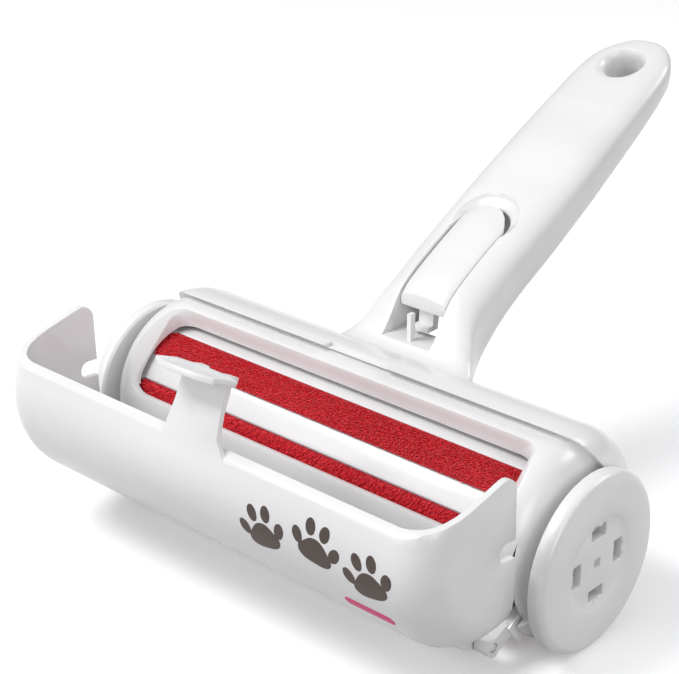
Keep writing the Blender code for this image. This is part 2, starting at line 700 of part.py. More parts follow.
def bezel(mat):
    """Frame round the bottom opening: front lip, rear lip and two end bars."""
    left = math.pi + BEZEL_TOP_ANGLE
    right = math.tau - BEZEL_TOP_ANGLE
    body = prism_x("lower_bezel", sector(BEZEL_INNER, BEZEL_OUTER, left, right, 24),
                   -BEZEL_HALF_LENGTH, BEZEL_HALF_LENGTH)
    opening = sector(15.0 * MM, 40.0 * MM, math.pi + BEZEL_LIP_ANGLE, math.tau - BEZEL_LIP_ANGLE, 16)
    cut(body, prism_x("opening", opening, -FAR, FAR))
    plate = sector(BEZEL_END_INNER, BEZEL_INNER + 0.6 * MM, left, right, 24)
    for side in (-1.0, 1.0):
        ends = sorted((side * BEZEL_HALF_LENGTH, side * (BEZEL_HALF_LENGTH - BEZEL_END_BAR)))
        join(body, prism_x("end_plate", plate, ends[0], ends[1]))
    cut(body, box("ground_clearance", (-FAR, -2.0 * FAR, -0.01), (FAR, 2.0 * FAR, BEZEL_BOTTOM_Z)))
    y, z = head(HINGE_Y, HINGE_Z)
    for side in (-1.0, 1.0):
        for offset in (-BEZEL_EAR_OFFSET, BEZEL_EAR_OFFSET):
            middle = side * HINGE_X + offset
            ends = (middle - BEZEL_EAR_HALF_WIDTH, middle + BEZEL_EAR_HALF_WIDTH)
            ear = turned("ear", [(ends[0], HINGE_KNUCKLE_RADIUS), (ends[1], HINGE_KNUCKLE_RADIUS)], y, z, 24)
            join(ear, prism_x("arm", [head(a * MM, b * MM) for a, b in HINGE_ARM], ends[0], ends[1]))
            join(body, ear)
        ends = (side * HINGE_X - BEZEL_BORE_REACH, side * HINGE_X + BEZEL_BORE_REACH)
        bore = HINGE_PIN_RADIUS + FIT_GAP
        cut(body, turned("bore", [(ends[0], bore), (ends[1], bore)], y, z, 20))
    return finish(body, mat)


def plain_pin(name, x0, x1, radius, y, z, mat, steps=20):
    return finish(turned(name, [(x0, radius), (x1, radius)], y, z, steps), mat)


def drum(mat):
    """Hollow drum core with strip seats, divider pockets and a shaft stub at each end."""
    y, z = head(0.0, DRUM_Z)
    body = turned("drum_core", [(-DRUM_HALF_LENGTH, DRUM_RADIUS), (DRUM_HALF_LENGTH, DRUM_RADIUS)], y, z, 64)
    shaft_end = DISC_OUTER_X - DISC_THICKNESS - 0.4 * MM
    join(body, turned("shaft", [(-shaft_end, SHAFT_RADIUS), (shaft_end, SHAFT_RADIUS)], y, z, 24))
    hollow = turned("hollow", [(-DRUM_HALF_LENGTH + DRUM_WALL, DRUM_RADIUS - DRUM_WALL),
                               (DRUM_HALF_LENGTH - DRUM_WALL, DRUM_RADIUS - DRUM_WALL)], y, z, 32)
    cut(hollow, turned("core", [(-FAR, CORE_TUBE_RADIUS), (FAR, CORE_TUBE_RADIUS)], y, z, 16))
    cut(body, hollow)
    for turn in range(VENT_COUNT):
        a = math.radians(45.0 + 360.0 * turn / VENT_COUNT)
        cut(body, turned("vent", [(-FAR, VENT_RADIUS), (FAR, VENT_RADIUS)],
                         y + VENT_REACH * math.cos(a), z + VENT_REACH * math.sin(a), 16))
    for name, angle in STRIP_ANGLES.items():
        cut(body, strip_solid(name + "_seat", angle, STRIP_SEAT_GAP, -STRIP_SEAT_DEPTH, 2.0 * MM))
    for side in (-1.0, 1.0):
        cut(body, pocket_solid("pocket", side, 0.0, POCKET_DEPTH))
    return finish(body, mat)


def pocket_solid(name, side, shrink, depth):
    """A long round-ended pocket in the underside divider."""
    half = POCKET_HALF_WIDTH - shrink
    centre = side * POCKET_CENTRE_X
    reach = POCKET_LENGTH / 2.0 - POCKET_HALF_WIDTH
    outline = []
    for i in range(9):
        a = -math.pi / 2.0 + math.pi * i / 8.0
        outline.append((centre + reach + half * math.cos(a), half * math.sin(a)))
    for i in range(9):
        a = math.pi / 2.0 + math.pi * i / 8.0
        outline.append((centre - reach + half * math.cos(a), half * math.sin(a)))
    top = DRUM_Z - DRUM_RADIUS + depth
    bottom = DRUM_Z - DRUM_RADIUS - 1.0 * MM
    if shrink > 0.0:
        top = top - FIT_GAP
        bottom = DRUM_Z - DRUM_RADIUS + 0.6 * MM
    rings = []
    for height in (bottom, top):
        rings.append([Vector((x, DRUM_Y + v, height)) for x, v in outline])
    return loft(name, rings)


def strip_solid(name, angle, grow, low, high):
    """A curved strip on the drum with chamfered end corners, between two heights over the drum's face."""
    y, z = head(0.0, DRUM_Z)
    half_angle = STRIP_HALF_ANGLE + grow / DRUM_RADIUS
    inner = DRUM_RADIUS + low
    outer = DRUM_RADIUS + high
    half = STRIP_HALF_LENGTH + grow
    rows = ((-half, STRIP_END_SHARE), (-half + STRIP_END_CHAMFER, 1.0),
            (half - STRIP_END_CHAMFER, 1.0), (half, STRIP_END_SHARE))
    rings = []
    steps = 8
    for x, share in rows:
        start = angle - half_angle * share
        end = angle + half_angle * share
        outline = arc(y, z, outer, start, end, steps) + arc(y, z, inner, end, start, steps)
        rings.append([Vector((x, a, b)) for a, b in outline])
    return loft(name, rings)


def end_disc(name, side, mat):
    """Round end disc with a rounded rim, four snap slots and a square centre hole."""
    y, z = head(0.0, DRUM_Z)
    inner_x = DISC_OUTER_X - DISC_THICKNESS
    profile = [(inner_x, DISC_RADIUS - 1.0 * MM), (inner_x + 0.8 * MM, DISC_RADIUS)]
    for i in range(5):
        a = math.radians(90.0 * i / 4.0)
        profile.append((DISC_OUTER_X - DISC_RIM_ROUND * (1.0 - math.sin(a)),
                        DISC_RADIUS - DISC_RIM_ROUND * (1.0 - math.cos(a))))
    profile = [(side * x, r) for x, r in profile]
    body = turned(name, profile, y, z, ROUND_STEPS)
    dish = [(side * (DISC_OUTER_X + a * MM), r * MM) for a, r in DISC_DISH]
    cut(body, turned("dish", dish, y, z, ROUND_STEPS))
    reach = SLOT_REACH
    wide = SLOT_HALF_LENGTH
    tall = SLOT_HALF_WIDTH
    for dy, dz, hy, hz in ((0, 1, wide, tall), (0, -1, wide, tall), (1, 0, tall, wide), (-1, 0, tall, wide)):
        cy = y + dy * reach
        cz = z + dz * reach
        cut(body, box("slot", (side * DISC_OUTER_X - 10.0 * MM, cy - hy, cz - hz),
                      (side * DISC_OUTER_X + 10.0 * MM, cy + hy, cz + hz)))
    square = SQUARE_HALF
    ends = sorted((side * (DISC_OUTER_X - SQUARE_DEPTH), side * (DISC_OUTER_X + 5.0 * MM)))
    cut(body, box("square", (ends[0], y - square, z - square), (ends[1], y + square, z + square)))
    return finish(body, mat)


def bush(name, side, mat):
    """Bearing ring of the shaft in one end wall."""
    y, z = head(0.0, DRUM_Z)
    ends = sorted((side * (END_WALL_INNER_X + 0.3 * MM), side * (SHELL_HALF_LENGTH - RABBET - 0.2 * MM)))
    outer = SHAFT_RADIUS + 3.0 * MM - FIT_GAP
    inner = SHAFT_RADIUS + FIT_GAP
    body = turned(name, [(ends[0], outer), (ends[1], outer)], y, z, 32)
    cut(body, turned("bore", [(ends[0] - 0.01, inner), (ends[1] + 0.01, inner)], y, z, 24))
    return finish(body, mat)


def wiper(name, angle, mat):
    """Rubber lip beside the opening that strips the hair off the fabric."""
    sign = 1.0 if angle > 1.5 * math.pi else -1.0
    start = 1.5 * math.pi + sign * (math.pi / 2.0 - BEZEL_LIP_ANGLE - WIPER_GAP_ANGLE)
    end = start - sign * WIPER_ANGLE
    body = prism_x(name, sector(BEZEL_INNER + 0.5 * MM, BEZEL_OUTER - 0.6 * MM, start, end, 3),
                   -STRIP_HALF_LENGTH, STRIP_HALF_LENGTH)
    return finish(body, mat)


def button(mat):
    """Release button: a crowned pad on top, a pivot lug, and the hook that holds the lid's tab."""
    rings = []
    steps = 16
    for k in range(steps + 1):
        y = BUTTON_FRONT_Y + (BUTTON_REAR_Y - BUTTON_FRONT_Y + 1.0 * MM) * k / steps
        top, _, _ = handle_at(y)
        ring = []
        for i in range(15):
            a = math.pi * i / 14.0
            rise = BUTTON_CROWN_RISE * math.sin(a) ** 0.6
            height = top - BUTTON_CROWN_DEPTH + rise
            ring.append(Vector((BUTTON_HALF_WIDTH * math.cos(a), DRUM_Y + y, height)))
        for side in (-1.0, 1.0):
            ring.append(Vector((side * BUTTON_HALF_WIDTH, DRUM_Y + y, top - BUTTON_SIDE_DEPTH)))
        rings.append(ring)
    body = loft("release_button", rings)
    keep(body, button_plan("plan", 0.0, 0.0))
    lug = [head(a * MM, b * MM) for a, b in BUTTON_LUG]
    join(body, prism_x("lug", lug, -BUTTON_LUG_HALF_WIDTH, BUTTON_LUG_HALF_WIDTH))
    hook = [head(a * MM, b * MM) for a, b in BUTTON_HOOK]
    join(body, prism_x("hook", hook, -BUTTON_HOOK_HALF_WIDTH, BUTTON_HOOK_HALF_WIDTH))
    y, z = head(BUTTON_PIVOT_Y, BUTTON_PIVOT_Z)
    bore = BUTTON_PIN_RADIUS + FIT_GAP
    cut(body, turned("bore", [(-0.02, bore), (0.02, bore)], y, z, 20))
    finish(body, mat)
    set_origin(body, (0.0, y, z))
    return body


def spring(mat):
    """Coil under the back of the button."""
    centre = Vector((0.0, DRUM_Y + SPRING_Y, 0.0))
    up = Vector((0.0, 0.0, 1.0))
    steps = SPRING_TURNS * SPRING_STEPS_PER_TURN
    rings = []
    for i in range(steps + 1):
        t = i / steps
        a = math.tau * SPRING_TURNS * t
        height = SPRING_LOW + (SPRING_HIGH - SPRING_LOW) * t
        middle = centre + Vector((SPRING_RADIUS * math.cos(a), SPRING_RADIUS * math.sin(a), height))
        radial = Vector((math.cos(a), math.sin(a), 0.0))
        ring = []
        for k in range(SPRING_SIDES):
            b = math.tau * k / SPRING_SIDES
            ring.append(middle + SPRING_WIRE * (radial * math.cos(b) + up * math.sin(b)))
        rings.append(ring)
    return finish(loft("button_spring", rings), mat, 60.0)


def build():
    clear_scene()
    white = material("white_plastic", WHITE, 0.35)
    red = material("red_fabric", RED, 0.9)
    grey = material("dark_grey_plastic", DARK_GREY, 0.3)
    rubber = material("black_rubber", (0.03, 0.03, 0.03), 0.7)
    steel = material("steel_wire", STEEL, 0.3, 1.0)

    housing(white)
    hinge_y, hinge_z = head(HINGE_Y, HINGE_Z)
    cover = lid(white)
    set_origin(cover, (0.0, hinge_y, hinge_z))
    bezel(white)
    for name, side in (("hinge_pin_left", -1.0), ("hinge_pin_right", 1.0)):
        plain_pin(name, side * HINGE_X - 10.6 * MM, side * HINGE_X + 10.6 * MM, HINGE_PIN_RADIUS,
                  hinge_y, hinge_z, steel)

    drum_y, drum_z = head(0.0, DRUM_Z)
    axis = bpy.data.objects.new("drum_axis", None)
    axis.location = (0.0, drum_y, drum_z)
    bpy.context.scene.collection.objects.link(axis)
    riders = [drum(white)]
    for name, angle in STRIP_ANGLES.items():
        strip = strip_solid(name, angle, 0.0, -STRIP_SEAT_DEPTH + STRIP_SEAT_GAP, STRIP_THICKNESS)
        riders.append(finish(strip, red))
    riders.append(finish(pocket_solid("divider_inlay_left", -1.0, 0.35 * MM, POCKET_DEPTH), grey))
    riders.append(finish(pocket_solid("divider_inlay_right", 1.0, 0.35 * MM, POCKET_DEPTH), grey))
    riders.append(end_disc("end_disc_left", -1.0, white))
    riders.append(end_disc("end_disc_right", 1.0, white))
    for rider in riders:
        rider.parent = axis
        rider.matrix_parent_inverse = Matrix.Translation((0.0, -drum_y, -drum_z))
    wiper("wiper_front", math.pi, rubber)
    wiper("wiper_rear", math.tau, rubber)
    bush("shaft_bush_left", -1.0, grey)
    bush("shaft_bush_right", 1.0, grey)

    button(white)
    pin_y, pin_z = head(BUTTON_PIVOT_Y, BUTTON_PIVOT_Z)
    pin_half = BUTTON_HALF_WIDTH + POCKET_GAP + 1.8 * MM
    plain_pin("button_pin", -pin_half, pin_half, BUTTON_PIN_RADIUS, pin_y, pin_z, steel)
    spring(steel)


build()
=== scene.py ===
"""Looks for the lint roller: finishes, pile strips, printed mark, floor, lights and camera."""

import math
import random

import bpy
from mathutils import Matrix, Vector
from mathutils.bvhtree import BVHTree


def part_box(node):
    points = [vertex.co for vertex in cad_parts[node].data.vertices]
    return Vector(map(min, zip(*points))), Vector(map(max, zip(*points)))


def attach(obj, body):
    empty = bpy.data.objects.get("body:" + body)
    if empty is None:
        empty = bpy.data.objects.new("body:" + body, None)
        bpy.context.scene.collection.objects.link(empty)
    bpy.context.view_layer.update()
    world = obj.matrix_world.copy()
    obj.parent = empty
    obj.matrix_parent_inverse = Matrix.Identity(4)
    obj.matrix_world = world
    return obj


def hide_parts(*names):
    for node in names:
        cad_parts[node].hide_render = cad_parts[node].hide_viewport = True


MM = 0.001

# the drum and its four strips
DRUM_RADIUS = 25.0 * MM
STRIP_HALF_LENGTH = 77.0 * MM
STRIP_HALF_ANGLE_DEG = 12.6
STRIP_END_CHAMFER = 3.0 * MM
STRIP_ANGLES_DEG = {
    "under_front": 247.5,
    "under_rear": 292.5,
    "bin_front": 162.0,
    "bin_rear": 117.0,
}
CLOTH_LIFT = 0.12 * MM
CLOTH_ROWS = 96
CLOTH_LANES = 8

# tufts of the pile; the pairs are shares of the value above them
PILE_SEED = 11
PILE_STEP = 0.58 * MM
PILE_JITTER = 0.3
PILE_HEIGHT = 0.95 * MM
PILE_HEIGHTS = (0.7, 1.15)
PILE_LEAN = 0.55 * MM
PILE_LEANS = (0.6, 1.4)
PILE_SWAY = 0.25 * MM
PILE_FOOT = 0.3 * MM
PILE_FOOT_LIFT = 0.05 * MM
PILE_TIP_SHARE = 0.45

# printed mark on the lid: the open lid is round about this line, given from the drum's axis
LID_CENTRE_Y = -37.7 * MM
LID_CENTRE_Z = 20.1 * MM
LID_RADIUS = 33.0 * MM
PRINT_X = 53.0 * MM
PRINT_ANGLE_DEG = 188.0
INK_LIFT = 0.03 * MM
INK_THICKNESS = 0.04 * MM
INK_RINGS = (0.35, 0.7, 1.0)

# paw prints: place across and up from the print's middle, and turn
PAW_SIZE = 15.5 * MM
PAW_PLACES = (
    ((-23.0 * MM, -1.0 * MM), 14.0),
    ((-3.5 * MM, 2.0 * MM), -8.0),
    ((16.0 * MM, -1.0 * MM), 14.0),
)
# in shares of the paw's size: the toes' places and tilts, their half axes, and the large pad
TOES = ((-0.44, 0.16, 24.0), (-0.17, 0.46, 8.0), (0.17, 0.46, -8.0), (0.44, 0.16, -24.0))
TOE_HALF_AXES = (0.115, 0.17)
PAD_SIZE = 0.34
BAR_PLACE = (13.0 * MM, -12.0 * MM)
BAR_HALF_LENGTH = 9.0 * MM
BAR_HALF_HEIGHT = 1.7 * MM

# soft rounding of the moulded edges
EDGE_ROUND = 0.3 * MM
EDGE_SEGMENTS = 2
EDGE_ANGLE_DEG = 32.0
WELD_DISTANCE = 0.01 * MM

# camera
CAMERA_PLACE = (0.321701, -0.402142, 0.288581)
CAMERA_TURN = (1.146328, 0.004135, 0.737278)
CAMERA_LENS = 90.3966
CAMERA_SENSOR = 36.0

# the studio's surroundings brighten from this height of the view to the second one
SKY_FLOOR = -0.3
SKY_TOP = 0.3
SKY_STRENGTH = 0.5
FLOOR_SIZE = 6.0
FLOOR_GLOW = 0.14

# softboxes: name, place, height of the point they aim at, size, power in watts
SOFTBOXES = (
    ("key", (-0.5, -0.6, 1.1), 0.03, (0.6, 0.45), 10.5),
    ("front_fill", (-0.45, -1.1, 0.55), 0.04, (0.9, 0.7), 5.2),
    ("side_fill", (1.1, -0.5, 0.45), 0.03, (0.6, 0.6), 4.2),
    ("rim", (0.6, 0.9, 0.8), 0.06, (0.7, 0.4), 4.4),
)


# ---------------------------------------------------------------- materials

def new_material(name):
    mat = bpy.data.materials.new(name)
    mat.use_nodes = True
    tree = mat.node_tree
    shader = tree.nodes["Principled BSDF"]
    return mat, tree, shader


def object_noise(tree, scale, detail, rough=0.5, stretch=(1.0, 1.0, 1.0)):
    """Noise fixed to the object, with scale in cells per metre."""
    coords = tree.nodes.new("ShaderNodeTexCoord")
    mapping = tree.nodes.new("ShaderNodeMapping")
    mapping.inputs["Scale"].default_value = stretch
    noise = tree.nodes.new("ShaderNodeTexNoise")
    noise.inputs["Scale"].default_value = scale
    noise.inputs["Detail"].default_value = detail
    noise.inputs["Roughness"].default_value = rough
    tree.links.new(coords.outputs["Object"], mapping.inputs["Vector"])
    tree.links.new(mapping.outputs["Vector"], noise.inputs["Vector"])
    return noise


def ramp(tree, source, low, high, start=0.35, end=0.65):
    """Colour ramp between two colours, driven by a value."""
    node = tree.nodes.new("ShaderNodeValToRGB")
    node.color_ramp.elements[0].position = start
    node.color_ramp.elements[0].color = (*low, 1.0)
    node.color_ramp.elements[1].position = end
    node.color_ramp.elements[1].color = (*high, 1.0)
    tree.links.new(source, node.inputs["Fac"])
    return node


def spread(tree, source, low, high):
    """Map a value from 0-1 to low-high."""
    node = tree.nodes.new("ShaderNodeMapRange")
    node.inputs["To Min"].default_value = low
    node.inputs["To Max"].default_value = high
    tree.links.new(source, node.inputs["Value"])
    return node.outputs["Result"]


def add_bump(tree, shader, height, strength, distance, below=None):
    node = tree.nodes.new("ShaderNodeBump")
    node.inputs["Strength"].default_value = strength
    node.inputs["Distance"].default_value = distance
    tree.links.new(height, node.inputs["Height"])
    if below is not None:
        tree.links.new(below.outputs["Normal"], node.inputs["Normal"])
    tree.links.new(node.outputs["Normal"], shader.inputs["Normal"])
    return node


def moulded_plastic(name, dark, light, gloss, coat=0.0, texture=0.35, subsurface=0.0):
    """Moulded plastic: faint flow mottling, uneven gloss, orange peel and a fine grain."""
    mat, tree, shader = new_material(name)
    flow = object_noise(tree, 38.0, 3.0, stretch=(0.35, 1.0, 1.0))
    colour = ramp(tree, flow.outputs["Fac"], dark, light)
    tree.links.new(colour.outputs["Color"], shader.inputs["Base Color"])
    haze = object_noise(tree, 160.0, 4.0, 0.6)
    uneven = spread(tree, haze.outputs["Fac"], gloss - 0.06, gloss + 0.08)
    tree.links.new(uneven, shader.inputs["Roughness"])
    peel = object_noise(tree, 300.0, 1.0)
    first = add_bump(tree, shader, peel.outputs["Fac"], texture * 0.5, 0.03 * MM)
    grain = object_noise(tree, 5200.0, 1.0)
    add_bump(tree, shader, grain.outputs["Fac"], texture, 0.012 * MM, first)
    shader.inputs["IOR"].default_value = 1.5
    shader.inputs["Coat Weight"].default_value = coat
    shader.inputs["Coat Roughness"].default_value = 0.12
    if subsurface:
        shader.inputs["Subsurface Weight"].default_value = subsurface
        shader.inputs["Subsurface Radius"].default_value = (1.0, 0.9, 0.8)
        shader.inputs["Subsurface Scale"].default_value = 0.0015
    return mat


def drawn_steel(name):
    """Bright drawn wire: fine lines and small stains."""
    mat, tree, shader = new_material(name)
    shader.inputs["Metallic"].default_value = 1.0
    stain = object_noise(tree, 300.0, 4.0)
    colour = ramp(tree, stain.outputs["Fac"], (0.46, 0.46, 0.47), (0.66, 0.66, 0.68))
    tree.links.new(colour.outputs["Color"], shader.inputs["Base Color"])
    lines = object_noise(tree, 2600.0, 2.0, stretch=(0.05, 1.0, 1.0))
    tree.links.new(spread(tree, lines.outputs["Fac"], 0.18, 0.42), shader.inputs["Roughness"])
    add_bump(tree, shader, lines.outputs["Fac"], 0.4, 0.02 * MM)
    return mat


def soft_rubber(name):
    mat, tree, shader = new_material(name)
    dust = object_noise(tree, 220.0, 5.0, 0.65)
    colour = ramp(tree, dust.outputs["Fac"], (0.012, 0.012, 0.013), (0.035, 0.034, 0.034))
    tree.links.new(colour.outputs["Color"], shader.inputs["Base Color"])
    tree.links.new(spread(tree, dust.outputs["Fac"], 0.55, 0.8), shader.inputs["Roughness"])
    fine = object_noise(tree, 2400.0, 2.0)
    add_bump(tree, shader, fine.outputs["Fac"], 0.5, 0.03 * MM)
    return mat


def red_cloth(name):
    """Ground weave under the pile: crossing threads of a darker red."""
    mat, tree, shader = new_material(name)
    coords = tree.nodes.new("ShaderNodeTexCoord")
    waves = []
    for axis in ("X", "Y"):
        wave = tree.nodes.new("ShaderNodeTexWave")
        wave.bands_direction = axis
        wave.inputs["Scale"].default_value = 380.0
        wave.inputs["Distortion"].default_value = 1.2
        tree.links.new(coords.outputs["Object"], wave.inputs["Vector"])
        waves.append(wave)
    both = tree.nodes.new("ShaderNodeMath")
    both.operation = "MULTIPLY"
    tree.links.new(waves[0].outputs["Fac"], both.inputs[0])
    tree.links.new(waves[1].outputs["Fac"], both.inputs[1])
    colour = ramp(tree, both.outputs[0], (0.26, 0.002, 0.010), (0.60, 0.006, 0.022), 0.05, 0.7)
    tree.links.new(colour.outputs["Color"], shader.inputs["Base Color"])
    shader.inputs["Roughness"].default_value = 0.85
    add_bump(tree, shader, both.outputs[0], 0.8, 0.12 * MM)
    return mat


def red_pile(name):
    """Short nylon bristles in uneven shades, deep red at the foot and lighter at the tip:
    painted shade low in the pile, painted light on the tips.
    """
    mat, tree, shader = new_material(name)
    tip = tree.nodes.new("ShaderNodeAttribute")
    tip.attribute_name = "tip"
    shade = object_noise(tree, 900.0, 2.0)
    # the foot colour is painted shade down among the tufts; the tip colour is painted light
    # where the tufts catch the lamps
    foot = ramp(tree, shade.outputs["Fac"], (0.50, 0.002, 0.012), (0.72, 0.006, 0.022))
    end = ramp(tree, shade.outputs["Fac"], (0.82, 0.010, 0.030), (0.95, 0.060, 0.075), 0.4, 0.75)
    mix = tree.nodes.new("ShaderNodeMix")
    mix.data_type = "RGBA"
    tree.links.new(tip.outputs["Fac"], mix.inputs["Factor"])
    tree.links.new(foot.outputs["Color"], mix.inputs[6])
    tree.links.new(end.outputs["Color"], mix.inputs[7])
    tree.links.new(mix.outputs[2], shader.inputs["Base Color"])
    tree.links.new(spread(tree, shade.outputs["Fac"], 0.4, 0.62), shader.inputs["Roughness"])
    shader.inputs["Sheen Weight"].default_value = 0.25
    shader.inputs["Sheen Roughness"].default_value = 0.4
    return mat


def printed_ink(name, dark, light):
    """Pad-printed ink, slightly uneven and satin."""
    mat, tree, shader = new_material(name)
    patch = object_noise(tree, 1400.0, 4.0, 0.6)
    colour = ramp(tree, patch.outputs["Fac"], dark, light)
    tree.links.new(colour.outputs["Color"], shader.inputs["Base Color"])
    tree.links.new(spread(tree, patch.outputs["Fac"], 0.42, 0.6), shader.inputs["Roughness"])
    add_bump(tree, shader, patch.outputs["Fac"], 0.25, 0.02 * MM)
    return mat


def floor_material(name):
    mat, tree, shader = new_material(name)
    cloud = object_noise(tree, 3.0, 3.0)
    colour = ramp(tree, cloud.outputs["Fac"], (0.92, 0.92, 0.925), (0.95, 0.95, 0.95))
    tree.links.new(colour.outputs["Color"], shader.inputs["Base Color"])
    shader.inputs["Roughness"].default_value = 0.6
    shader.inputs["Specular IOR Level"].default_value = 0.2
    shader.inputs["Emission Color"].default_value = (1.0, 1.0, 1.0, 1.0)
    shader.inputs["Emission Strength"].default_value = FLOOR_GLOW
    return mat


# ---------------------------------------------------------------- pieces

def drum_axis():
    low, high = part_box("drum_core")
    return (low.y + high.y) / 2.0, (low.z + high.z) / 2.0


def smooth_shading_group():
    """Geometry nodes that shade all faces smooth, so the CAD meshes stay as they are."""
    group = bpy.data.node_groups.new("smooth_shading", "GeometryNodeTree")
    group.interface.new_socket("Geometry", in_out="INPUT", socket_type="NodeSocketGeometry")
    group.interface.new_socket("Geometry", in_out="OUTPUT", socket_type="NodeSocketGeometry")
    start = group.nodes.new("NodeGroupInput")
    shade = group.nodes.new("GeometryNodeSetShadeSmooth")
    end = group.nodes.new("NodeGroupOutput")
    group.links.new(start.outputs["Geometry"], shade.inputs["Geometry"])
    group.links.new(shade.outputs["Geometry"], end.inputs["Geometry"])
    return group


def mesh_object(name, vertices, faces, mat):
    mesh = bpy.data.meshes.new(name)
    mesh.from_pydata(vertices, [], faces)
    mesh.materials.append(mat)
    obj = bpy.data.objects.new(name, mesh)
    bpy.context.scene.collection.objects.link(obj)
    return obj


def on_drum(x, angle, radius):
    """A point at an angle about the drum's axis."""
    return (x, AXIS_Y + radius * math.cos(angle), AXIS_Z + radius * math.sin(angle))


def strip_half_angle(x):
    """Half the strip's width as an angle, less at the cut corners of its ends."""
    half = math.radians(STRIP_HALF_ANGLE_DEG)
    past = abs(x) - (STRIP_HALF_LENGTH - STRIP_END_CHAMFER)
    return half - max(past, 0.0) / DRUM_RADIUS


def cloth_sheet(name, centre, mat):
    """The woven ground of one strip, stretched on the drum."""
    vertices = []
    faces = []
    for i in range(CLOTH_ROWS + 1):
        x = STRIP_HALF_LENGTH * (2.0 * i / CLOTH_ROWS - 1.0)
        half = strip_half_angle(x)
        for j in range(CLOTH_LANES + 1):
            angle = centre + half * (1.0 - 2.0 * j / CLOTH_LANES)
            vertices.append(on_drum(x, angle, DRUM_RADIUS + CLOTH_LIFT))
    for i in range(CLOTH_ROWS):
        for j in range(CLOTH_LANES):
            a = i * (CLOTH_LANES + 1) + j
            faces.append((a, a + 1, a + CLOTH_LANES + 2, a + CLOTH_LANES + 1))
    return mesh_object("strip_cloth_" + name, vertices, faces, mat)


def triangle_on_drum(x, angle, turn, size, radius):
    """Three corners of a tuft's foot or tip."""
    corners = []
    for k in range(3):
        a = turn + math.tau * k / 3.0
        corners.append(on_drum(x + size * math.cos(a),
                               angle + size * math.sin(a) / DRUM_RADIUS, radius))
    return corners


def pile_tufts(name, centre, mat, seed):
    """The short leaning pile of one strip: three-sided tufts in staggered rows."""
    rng = random.Random(seed)
    half_angle = math.radians(STRIP_HALF_ANGLE_DEG)
    vertices = []
    faces = []
    tips = []
    rows = int(2.0 * STRIP_HALF_LENGTH / PILE_STEP)
    lanes = int(2.0 * half_angle * DRUM_RADIUS / PILE_STEP)
    for i in range(rows + 1):
        for j in range(lanes + 1):
            x = STRIP_HALF_LENGTH * (2.0 * i / rows - 1.0)
            x += rng.uniform(-PILE_JITTER, PILE_JITTER) * PILE_STEP
            share = 2.0 * (j + 0.5 * (i % 2)) / (lanes + 0.5) - 1.0
            angle = share * half_angle
            angle += rng.uniform(-PILE_JITTER, PILE_JITTER) * PILE_STEP / DRUM_RADIUS
            edge = strip_half_angle(x) - PILE_FOOT / DRUM_RADIUS
            if abs(x) > STRIP_HALF_LENGTH - PILE_FOOT or abs(angle) > edge:
                continue
            height = PILE_HEIGHT * rng.uniform(*PILE_HEIGHTS)
            lean = PILE_LEAN * rng.uniform(*PILE_LEANS) / DRUM_RADIUS
            sway = rng.uniform(-PILE_SWAY, PILE_SWAY)
            turn = rng.uniform(0.0, math.tau)
            base = len(vertices)
            vertices += triangle_on_drum(x, centre + angle, turn, PILE_FOOT,
                                         DRUM_RADIUS + PILE_FOOT_LIFT)
            vertices += triangle_on_drum(x + sway, centre + angle + lean, turn,
                                         PILE_TIP_SHARE * PILE_FOOT, DRUM_RADIUS + height)
            tips += [0.0, 0.0, 0.0, 1.0, 1.0, 1.0]
            for k in range(3):
                n = (k + 1) % 3
                faces.append((base + k, base + n, base + 3 + n, base + 3 + k))
            faces.append((base + 3, base + 4, base + 5))
    pile = mesh_object("strip_pile_" + name, vertices, faces, mat)
    values = pile.data.attributes.new("tip", "FLOAT", "POINT")
    values.data.foreach_set("value", tips)
    return pile


def pile_strip(name, centre_deg, cloth_mat, pile_mat, seed):
    """One lint strip: the woven ground and the pile standing on it."""
    cloth = cloth_sheet(name, math.radians(centre_deg), cloth_mat)
    pile = pile_tufts(name, math.radians(centre_deg), pile_mat, seed)
    pile.parent = cloth
    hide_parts("lint_strip_" + name)
    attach(cloth, "drum")


def moved(points, centre, turn_deg):
    """Points turned about the origin and then moved to a centre, in the plane of the print."""
    c = math.cos(math.radians(turn_deg))
    s = math.sin(math.radians(turn_deg))
    return [(centre[0] + u * c - v * s, centre[1] + u * s + v * c) for u, v in points]


def ellipse(centre, half_axes, turn_deg, count=40):
    """Outline of an ellipse."""
    points = []
    for i in range(count):
        a = math.tau * i / count
        points.append((half_axes[0] * math.cos(a), half_axes[1] * math.sin(a)))
    return moved(points, centre, turn_deg)


def main_pad(size, count=48):
    """Outline of the paw's large pad: a rounded form with three soft lobes."""
    points = []
    for i in range(count):
        a = math.tau * i / count
        lobes = 0.10 * math.cos(3.0 * (a - math.pi / 2.0)) - 0.10 * max(math.sin(a), 0.0)
        r = size * (1.0 + lobes)
        points.append((1.12 * r * math.cos(a), 0.82 * r * math.sin(a)))
    return points


def paw(centre, size, turn_deg):
    """Outlines of one paw print: a large pad and four toes."""
    outlines = [main_pad(PAD_SIZE * size)]
    half_axes = (TOE_HALF_AXES[0] * size, TOE_HALF_AXES[1] * size)
    for u, v, tilt in TOES:
        outlines.append(ellipse((u * size, v * size), half_axes, tilt))
    return [moved(outline, centre, turn_deg) for outline in outlines]


def pill(centre, half_length, half_height, count=12):
    """Outline of a bar with round ends."""
    points = []
    for side, start in ((1.0, -math.pi / 2.0), (-1.0, math.pi / 2.0)):
        middle = centre[0] + side * (half_length - half_height)
        for i in range(count + 1):
            a = start + math.pi * i / count
            points.append((middle + half_height * math.cos(a),
                           centre[1] + half_height * math.sin(a)))
    return points


